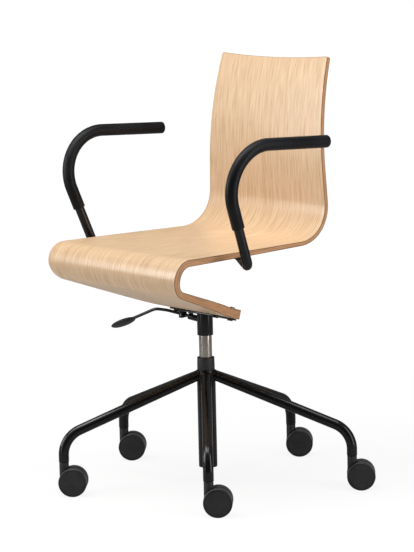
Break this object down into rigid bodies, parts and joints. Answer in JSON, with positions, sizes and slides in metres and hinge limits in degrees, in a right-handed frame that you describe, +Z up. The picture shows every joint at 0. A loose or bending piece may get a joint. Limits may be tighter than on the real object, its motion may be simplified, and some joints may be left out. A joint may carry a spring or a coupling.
{
  "type": "swivel office chair",
  "caption": "Swivel office chair with a continuous bent-plywood seat and back, tubular armrests, gas height adjustment and a tubular star base on rolling casters.",
  "frame": {"origin": "centre of the bounding box at floor level, under the casters", "axes": "+Z up, the chair faces -Y, and +X is the left side of a person sitting in it"},
  "size_m": [0.6614, 0.6896, 0.9181],
  "materials": {
    "oak_ply": "clear satin lacquer over oak face veneer, with the plies showing on the edges",
    "black_paint": "gloss black powder coat on steel",
    "black_plastic": "fine matte texture",
    "black_sleeve": "soft matte integral-skin foam",
    "bright_steel": "polished, lightly drawn",
    "zinc_steel": "zinc plated"
  },
  "bodies": {
    "base": {"column_tube": "black_paint", "column_bush": "black_plastic", "thrust_bearing": "zinc_steel", "leg_1": "black_paint", "leg_2": "black_paint", "leg_3": "black_paint", "leg_4": "black_paint", "leg_5": "black_paint", "caster_1_stem": "zinc_steel", "caster_2_stem": "zinc_steel", "caster_3_stem": "zinc_steel", "caster_4_stem": "zinc_steel", "caster_5_stem": "zinc_steel"},
    "spindle": {"lift_rod": "bright_steel", "retaining_clip": "zinc_steel"},
    "lever": {"lever_rod": "black_paint", "lever_paddle": "black_plastic"},
    "button": {"release_button": "zinc_steel"},
    "caster_1": {"caster_1_body": "black_plastic", "caster_1_axle": "zinc_steel"},
    "caster_1_left": {"caster_1_wheel_left": "black_plastic"},
    "caster_1_right": {"caster_1_wheel_right": "black_plastic"},
    "caster_2": {"caster_2_body": "black_plastic", "caster_2_axle": "zinc_steel"},
    "caster_2_left": {"caster_2_wheel_left": "black_plastic"},
    "caster_2_right": {"caster_2_wheel_right": "black_plastic"},
    "caster_3": {"caster_3_body": "black_plastic", "caster_3_axle": "zinc_steel"},
    "caster_3_left": {"caster_3_wheel_left": "black_plastic"},
    "caster_3_right": {"caster_3_wheel_right": "black_plastic"},
    "caster_4": {"caster_4_body": "black_plastic", "caster_4_axle": "zinc_steel"},
    "caster_4_left": {"caster_4_wheel_left": "black_plastic"},
    "caster_4_right": {"caster_4_wheel_right": "black_plastic"},
    "caster_5": {"caster_5_body": "black_plastic", "caster_5_axle": "zinc_steel"},
    "caster_5_left": {"caster_5_wheel_left": "black_plastic"},
    "caster_5_right": {"caster_5_wheel_right": "black_plastic"},
    "seat": {"arm_cap_left": "black_plastic", "arm_cap_right": "black_plastic", "arm_foot_left": "black_paint", "arm_foot_right": "black_paint", "arm_screw_left_1": "zinc_steel", "arm_screw_left_2": "zinc_steel", "arm_screw_right_1": "zinc_steel", "arm_screw_right_2": "zinc_steel", "arm_sleeve_left": "black_sleeve", "arm_sleeve_right": "black_sleeve", "arm_tube_left": "black_paint", "arm_tube_right": "black_paint", "lever_bracket": "black_paint", "lever_pin": "zinc_steel", "lift_tube": "bright_steel", "mounting_plate": "black_paint", "seat_shell": "oak_ply", "socket_tube": "black_paint", "tail_bolt_1": "zinc_steel", "tail_bolt_2": "zinc_steel", "tail_bolt_3": "zinc_steel", "tail_bolt_4": "zinc_steel"}
  },
  "joints": [
    {"name": "seat_swivel", "type": "hinge", "parent": "base", "child": "spindle", "pos_m": [0.01697, -0.0163, 0.2], "axis": [0, 0, 1], "continuous": true},
    {"name": "seat_height", "type": "slide", "parent": "spindle", "child": "seat", "axis": [0, 0, 1], "range_m": [-0.045, 0.07]},
    {"name": "lever_lift", "type": "hinge", "parent": "seat", "child": "lever", "pos_m": [-0.04147, -0.03196, 0.36378], "axis": [-0.2588, 0.9659, 0], "range_deg": [0, 1.5], "stiffness_Nm_per_rad": 3, "springref_deg": -2.86},
    {"name": "button_press", "type": "slide", "parent": "seat", "child": "button", "axis": [0, 0, 1], "range_m": [-0.0016, 0]},
    {"name": "caster_1_swivel", "type": "hinge", "parent": "base", "child": "caster_1", "pos_m": [0.27493, -0.21068, 0.06], "axis": [0, 0, 1], "continuous": true},
    {"name": "caster_1_left_spin", "type": "hinge", "parent": "caster_1", "child": "caster_1_left", "pos_m": [0.28714, -0.19613, 0.03042], "axis": [-0.766, 0.6428, 0], "continuous": true},
    {"name": "caster_1_right_spin", "type": "hinge", "parent": "caster_1", "child": "caster_1_right", "pos_m": [0.28714, -0.19613, 0.03042], "axis": [-0.766, 0.6428, 0], "continuous": true},
    {"name": "caster_2_swivel", "type": "hinge", "parent": "base", "child": "caster_2", "pos_m": [0.28156, 0.16897, 0.06], "axis": [0, 0, 1], "continuous": true},
    {"name": "caster_2_left_spin", "type": "hinge", "parent": "caster_2", "child": "caster_2_left", "pos_m": [0.29377, 0.18352, 0.03042], "axis": [-0.766, 0.6428, 0], "continuous": true},
    {"name": "caster_2_right_spin", "type": "hinge", "parent": "caster_2", "child": "caster_2_right", "pos_m": [0.29377, 0.18352, 0.03042], "axis": [-0.766, 0.6428, 0], "continuous": true},
    {"name": "caster_3_swivel", "type": "hinge", "parent": "base", "child": "caster_3", "pos_m": [-0.07747, 0.29259, 0.06], "axis": [0, 0, 1], "continuous": true},
    {"name": "caster_3_left_spin", "type": "hinge", "parent": "caster_3", "child": "caster_3_left", "pos_m": [-0.06525, 0.30714, 0.03042], "axis": [-0.766, 0.6428, 0], "continuous": true},
    {"name": "caster_3_right_spin", "type": "hinge", "parent": "caster_3", "child": "caster_3_right", "pos_m": [-0.06525, 0.30714, 0.03042], "axis": [-0.766, 0.6428, 0], "continuous": true},
    {"name": "caster_4_swivel", "type": "hinge", "parent": "base", "child": "caster_4", "pos_m": [-0.30598, -0.01066, 0.06], "axis": [0, 0, 1], "continuous": true},
    {"name": "caster_4_left_spin", "type": "hinge", "parent": "caster_4", "child": "caster_4_left", "pos_m": [-0.29377, 0.0039, 0.03042], "axis": [-0.766, 0.6428, 0], "continuous": true},
    {"name": "caster_4_right_spin", "type": "hinge", "parent": "caster_4", "child": "caster_4_right", "pos_m": [-0.29377, 0.0039, 0.03042], "axis": [-0.766, 0.6428, 0], "continuous": true},
    {"name": "caster_5_swivel", "type": "hinge", "parent": "base", "child": "caster_5", "pos_m": [-0.08819, -0.3217, 0.06], "axis": [0, 0, 1], "continuous": true},
    {"name": "caster_5_left_spin", "type": "hinge", "parent": "caster_5", "child": "caster_5_left", "pos_m": [-0.07598, -0.30714, 0.03042], "axis": [-0.766, 0.6428, 0], "continuous": true},
    {"name": "caster_5_right_spin", "type": "hinge", "parent": "caster_5", "child": "caster_5_right", "pos_m": [-0.07598, -0.30714, 0.03042], "axis": [-0.766, 0.6428, 0], "continuous": true}
  ],
  "couplings": [
    {"joint": "button_press", "follows": "lever_lift", "m_per_rad": -0.0605}
  ]
}
